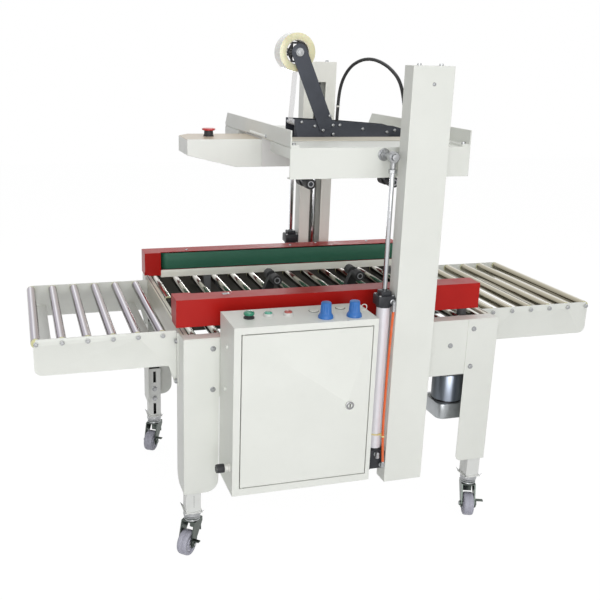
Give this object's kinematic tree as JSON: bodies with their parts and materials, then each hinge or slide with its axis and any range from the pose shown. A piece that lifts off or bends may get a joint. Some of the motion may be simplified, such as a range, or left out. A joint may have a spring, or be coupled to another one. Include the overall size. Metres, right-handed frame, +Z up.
{
  "type": "case sealer",
  "caption": "Carton sealing machine with side belts, a lifting tape head on twin columns, roller tables and a control cabinet, on casters",
  "frame": {"origin": "on the floor under the middle of the bed", "axes": "X runs with the cartons from infeed to outfeed, Y runs away from the operator's side, Z is up"},
  "size_m": [1.82, 1.013, 1.524],
  "materials": {
    "painted_sheet": "off-white powder coat",
    "zinc_steel": "zinc-plated sheet",
    "bright_steel": "bright plated tube and ground shaft",
    "cylinder_aluminium": "drawn and anodised",
    "motor_housing": "grey enamel on a cast housing",
    "red_cover": "red powder coat",
    "green_belt": "green ribbed belt",
    "black_plate": "blue-black coating",
    "black_rubber": "soft black rubber",
    "tape_film": "clear film wound on a core",
    "black_plastic": "black corrugated conduit",
    "orange_hose": "orange polyurethane hose",
    "red_plastic": "red mushroom cap",
    "blue_plastic": "blue knobs, green, red and cream caps",
    "fork_steel": "zinc-plated pressed steel",
    "wheel_tread": "lilac-grey moulded wheel"
  },
  "bodies": {
    "machine_frame": {"air_hose": "orange_hose", "bed_rollers": "bright_steel", "cabinet_controls": "blue_plastic", "centre_channel": "zinc_steel", "control_cabinet": "painted_sheet", "end_members": "painted_sheet", "guide_rods": "bright_steel", "infeed_table": "painted_sheet", "leg_tubes": "zinc_steel", "legs": "painted_sheet", "lift_columns": "painted_sheet", "lift_cylinders": "cylinder_aluminium", "lower_tape_head": "black_plate", "lower_tape_rollers": "black_rubber", "outfeed_table": "painted_sheet", "side_panels": "painted_sheet", "slide_shafts": "bright_steel"},
    "lifting_head": {"head_beams": "painted_sheet", "head_tray": "zinc_steel", "cross_plates": "painted_sheet", "lift_carriages": "zinc_steel", "nose_arm": "painted_sheet", "emergency_stop": "red_plastic", "upper_tape_head": "black_plate", "upper_tape_rollers": "black_rubber", "tape_arm": "black_plate", "lift_rods": "bright_steel", "loop_conduit": "black_plastic"},
    "tape_roll": {"tape_roll": "tape_film"},
    "front_belt": {"front_belt_housing": "red_cover", "front_side_belt": "green_belt", "front_belt_pulleys": "cylinder_aluminium", "front_belt_carriage": "zinc_steel", "front_belt_motor": "motor_housing"},
    "back_belt": {"back_belt_housing": "red_cover", "back_side_belt": "green_belt", "back_belt_pulleys": "cylinder_aluminium", "back_belt_carriage": "zinc_steel", "back_belt_motor": "motor_housing"},
    "door": {"cabinet_door": "painted_sheet"},
    "fork_front_infeed": {"caster_fork_front_infeed": "fork_steel"},
    "wheel_front_infeed": {"caster_wheel_front_infeed": "wheel_tread"},
    "fork_front_outfeed": {"caster_fork_front_outfeed": "fork_steel"},
    "wheel_front_outfeed": {"caster_wheel_front_outfeed": "wheel_tread"},
    "fork_back_infeed": {"caster_fork_back_infeed": "fork_steel"},
    "wheel_back_infeed": {"caster_wheel_back_infeed": "wheel_tread"},
    "fork_back_outfeed": {"caster_fork_back_outfeed": "fork_steel"},
    "wheel_back_outfeed": {"caster_wheel_back_outfeed": "wheel_tread"},
    "infeed_roller_1": {"infeed_roller_1": "bright_steel"},
    "infeed_roller_2": {"infeed_roller_2": "bright_steel"},
    "infeed_roller_3": {"infeed_roller_3": "bright_steel"},
    "infeed_roller_4": {"infeed_roller_4": "bright_steel"},
    "infeed_roller_5": {"infeed_roller_5": "bright_steel"},
    "infeed_roller_6": {"infeed_roller_6": "bright_steel"},
    "outfeed_roller_1": {"outfeed_roller_1": "bright_steel"},
    "outfeed_roller_2": {"outfeed_roller_2": "bright_steel"},
    "outfeed_roller_3": {"outfeed_roller_3": "bright_steel"},
    "outfeed_roller_4": {"outfeed_roller_4": "bright_steel"},
    "outfeed_roller_5": {"outfeed_roller_5": "bright_steel"},
    "outfeed_roller_6": {"outfeed_roller_6": "bright_steel"}
  },
  "joints": [
    {"name": "head_lift", "type": "slide", "parent": "machine_frame", "child": "lifting_head", "axis": [0, 0, 1], "range_m": [-0.33, 0.06]},
    {"name": "tape_roll_spin", "type": "hinge", "parent": "lifting_head", "child": "tape_roll", "pos_m": [-0.072, 0, 1.466], "axis": [0, 1, 0], "continuous": true},
    {"name": "front_belt_slide", "type": "slide", "parent": "machine_frame", "child": "front_belt", "axis": [0, 1, 0], "range_m": [0, 0.19]},
    {"name": "back_belt_slide", "type": "slide", "parent": "machine_frame", "child": "back_belt", "axis": [0, 1, 0], "range_m": [-0.19, 0]},
    {"name": "door_hinge", "type": "hinge", "parent": "machine_frame", "child": "door", "pos_m": [-0.367, -0.533, 0.516], "axis": [0, 0, 1], "range_deg": [-110, 0]},
    {"name": "swivel_front_infeed", "type": "hinge", "parent": "machine_frame", "child": "fork_front_infeed", "pos_m": [-0.4695, -0.3545, 0.11], "axis": [0, 0, 1], "continuous": true},
    {"name": "wheel_spin_front_infeed", "type": "hinge", "parent": "fork_front_infeed", "child": "wheel_front_infeed", "pos_m": [-0.48932, -0.37702, 0.038], "axis": [-0.7507, 0.6606, 0], "continuous": true},
    {"name": "swivel_front_outfeed", "type": "hinge", "parent": "machine_frame", "child": "fork_front_outfeed", "pos_m": [0.4695, -0.3545, 0.11], "axis": [0, 0, 1], "continuous": true},
    {"name": "wheel_spin_front_outfeed", "type": "hinge", "parent": "fork_front_outfeed", "child": "wheel_front_outfeed", "pos_m": [0.45903, -0.38261, 0.038], "axis": [-0.9371, 0.3489, 0], "continuous": true},
    {"name": "swivel_back_infeed", "type": "hinge", "parent": "machine_frame", "child": "fork_back_infeed", "pos_m": [-0.4695, 0.3545, 0.11], "axis": [0, 0, 1], "continuous": true},
    {"name": "wheel_spin_back_infeed", "type": "hinge", "parent": "fork_back_infeed", "child": "wheel_back_infeed", "pos_m": [-0.48572, 0.32926, 0.038], "axis": [-0.8412, 0.5408, 0], "continuous": true},
    {"name": "swivel_back_outfeed", "type": "hinge", "parent": "machine_frame", "child": "fork_back_outfeed", "pos_m": [0.4695, 0.3545, 0.11], "axis": [0, 0, 1], "continuous": true},
    {"name": "wheel_spin_back_outfeed", "type": "hinge", "parent": "fork_back_outfeed", "child": "wheel_back_outfeed", "pos_m": [0.45455, 0.32849, 0.038], "axis": [-0.867, 0.4983, 0], "continuous": true},
    {"name": "infeed_roller_1_spin", "type": "hinge", "parent": "machine_frame", "child": "infeed_roller_1", "pos_m": [-0.541, 0, 0.67], "axis": [0, 1, 0], "continuous": true},
    {"name": "infeed_roller_2_spin", "type": "hinge", "parent": "machine_frame", "child": "infeed_roller_2", "pos_m": [-0.612, 0, 0.67], "axis": [0, 1, 0], "continuous": true},
    {"name": "infeed_roller_3_spin", "type": "hinge", "parent": "machine_frame", "child": "infeed_roller_3", "pos_m": [-0.683, 0, 0.67], "axis": [0, 1, 0], "continuous": true},
    {"name": "infeed_roller_4_spin", "type": "hinge", "parent": "machine_frame", "child": "infeed_roller_4", "pos_m": [-0.754, 0, 0.67], "axis": [0, 1, 0], "continuous": true},
    {"name": "infeed_roller_5_spin", "type": "hinge", "parent": "machine_frame", "child": "infeed_roller_5", "pos_m": [-0.825, 0, 0.67], "axis": [0, 1, 0], "continuous": true},
    {"name": "infeed_roller_6_spin", "type": "hinge", "parent": "machine_frame", "child": "infeed_roller_6", "pos_m": [-0.896, 0, 0.67], "axis": [0, 1, 0], "continuous": true},
    {"name": "outfeed_roller_1_spin", "type": "hinge", "parent": "machine_frame", "child": "outfeed_roller_1", "pos_m": [0.541, 0, 0.67], "axis": [0, 1, 0], "continuous": true},
    {"name": "outfeed_roller_2_spin", "type": "hinge", "parent": "machine_frame", "child": "outfeed_roller_2", "pos_m": [0.612, 0, 0.67], "axis": [0, 1, 0], "continuous": true},
    {"name": "outfeed_roller_3_spin", "type": "hinge", "parent": "machine_frame", "child": "outfeed_roller_3", "pos_m": [0.683, 0, 0.67], "axis": [0, 1, 0], "continuous": true},
    {"name": "outfeed_roller_4_spin", "type": "hinge", "parent": "machine_frame", "child": "outfeed_roller_4", "pos_m": [0.754, 0, 0.67], "axis": [0, 1, 0], "continuous": true},
    {"name": "outfeed_roller_5_spin", "type": "hinge", "parent": "machine_frame", "child": "outfeed_roller_5", "pos_m": [0.825, 0, 0.67], "axis": [0, 1, 0], "continuous": true},
    {"name": "outfeed_roller_6_spin", "type": "hinge", "parent": "machine_frame", "child": "outfeed_roller_6", "pos_m": [0.896, 0, 0.67], "axis": [0, 1, 0], "continuous": true}
  ],
  "couplings": [
    {"joint": "back_belt_slide", "follows": "front_belt_slide", "ratio": -1}
  ]
}
